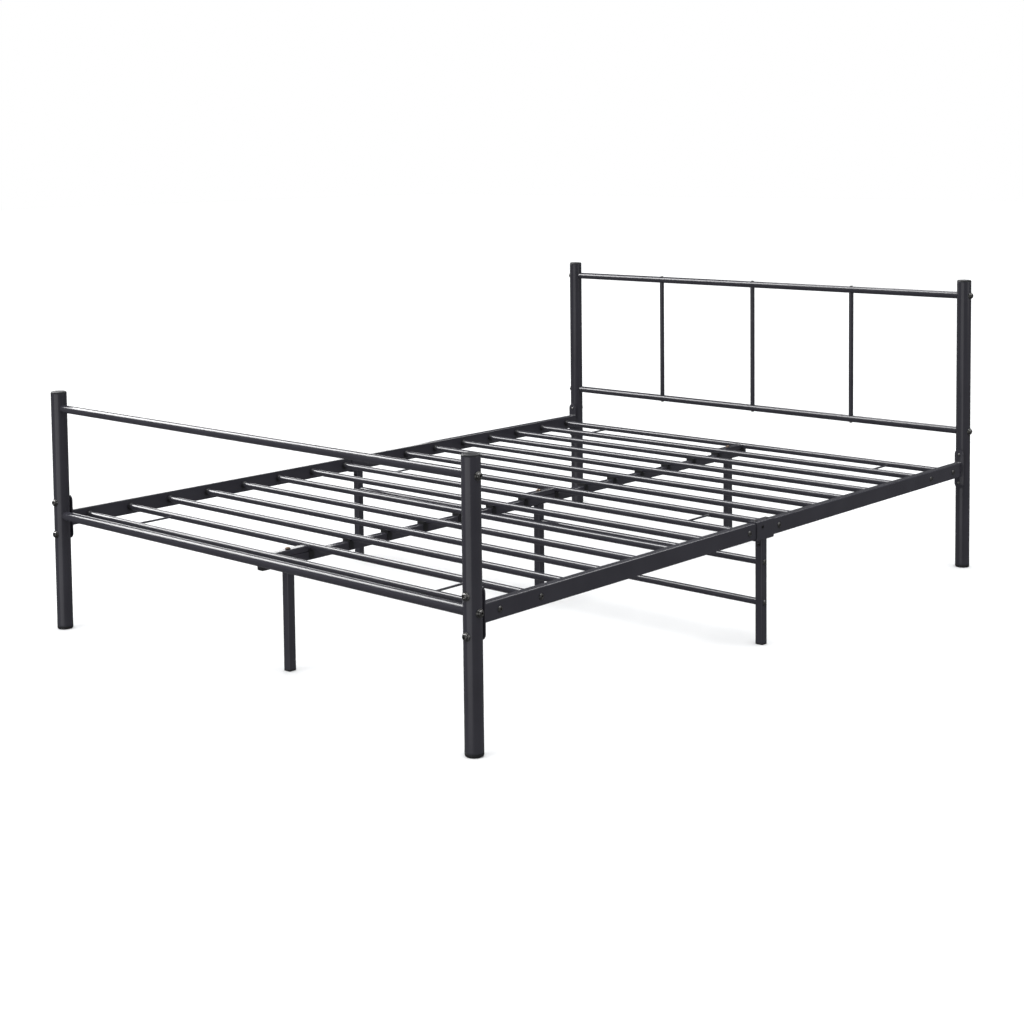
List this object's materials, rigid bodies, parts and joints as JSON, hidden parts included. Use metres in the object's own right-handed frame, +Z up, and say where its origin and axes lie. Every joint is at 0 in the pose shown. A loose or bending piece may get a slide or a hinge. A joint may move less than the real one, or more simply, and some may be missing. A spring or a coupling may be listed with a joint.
{
  "type": "metal bed frame",
  "caption": "Black tubular steel bed frame with a low headboard, a footboard rail, split side rails, round slats and a centre support on square legs.",
  "frame": {"origin": "centre of the footprint, on the floor", "axes": "+X to the right seen from the foot end, +Y from the foot end to the head end, +Z up"},
  "size_m": [1.42, 2.003, 0.788],
  "materials": {
    "frame_powder_coat": "satin charcoal-black powder coat",
    "black_plastic": "fine moulded texture",
    "dark_fastener_steel": "black zinc plated",
    "bronze_fastener_steel": "yellow zinc plated",
    "bare_steel": "zinc plated"
  },
  "bodies": {
    "root": {"head_post_left": "frame_powder_coat", "head_post_right": "frame_powder_coat", "foot_post_left": "frame_powder_coat", "foot_post_right": "frame_powder_coat", "headboard_top_rail": "frame_powder_coat", "headboard_lower_rail": "frame_powder_coat", "headboard_spindle_left": "frame_powder_coat", "headboard_spindle_centre": "frame_powder_coat", "headboard_spindle_right": "frame_powder_coat", "footboard_top_rail": "frame_powder_coat", "footboard_lower_rail": "frame_powder_coat", "side_rail_left_foot": "frame_powder_coat", "side_rail_left_head": "frame_powder_coat", "side_rail_right_foot": "frame_powder_coat", "side_rail_right_head": "frame_powder_coat", "rail_end_plate_left_foot": "frame_powder_coat", "rail_end_plate_left_head": "frame_powder_coat", "rail_end_plate_right_foot": "frame_powder_coat", "rail_end_plate_right_head": "frame_powder_coat", "joint_sleeve_left": "frame_powder_coat", "joint_sleeve_right": "frame_powder_coat", "side_leg_left": "frame_powder_coat", "side_leg_right": "frame_powder_coat", "centre_leg_foot": "frame_powder_coat", "centre_leg_middle": "frame_powder_coat", "centre_leg_head": "frame_powder_coat", "upper_crossbar_left": "frame_powder_coat", "upper_crossbar_right": "frame_powder_coat", "lower_crossbar_left": "frame_powder_coat", "lower_crossbar_right": "frame_powder_coat", "centre_rail_foot": "frame_powder_coat", "centre_rail_head": "frame_powder_coat", "slat_01": "frame_powder_coat", "slat_02": "frame_powder_coat", "slat_08": "frame_powder_coat", "slat_09": "frame_powder_coat", "slat_15": "frame_powder_coat", "slat_16": "frame_powder_coat", "loose_slats_foot": "frame_powder_coat", "loose_slats_head": "frame_powder_coat", "tie_rods": "frame_powder_coat", "centre_straps": "frame_powder_coat", "post_caps": "black_plastic", "post_glides": "black_plastic", "square_tube_plugs": "black_plastic", "slat_collars": "black_plastic", "centre_saddles": "black_plastic", "board_bolts": "dark_fastener_steel", "plate_bolts": "dark_fastener_steel", "saddle_washers": "dark_fastener_steel", "frame_bolts": "dark_fastener_steel", "sleeve_screws": "dark_fastener_steel", "spindle_screws": "dark_fastener_steel", "strap_bolts": "bronze_fastener_steel", "board_rail_plugs": "bare_steel", "tube_end_plugs": "bare_steel", "leg_top_plugs": "bare_steel", "spindle_plugs": "bare_steel", "centre_studs": "bare_steel", "centre_rail_coupling": "bare_steel"}
  },
  "joints": []
}
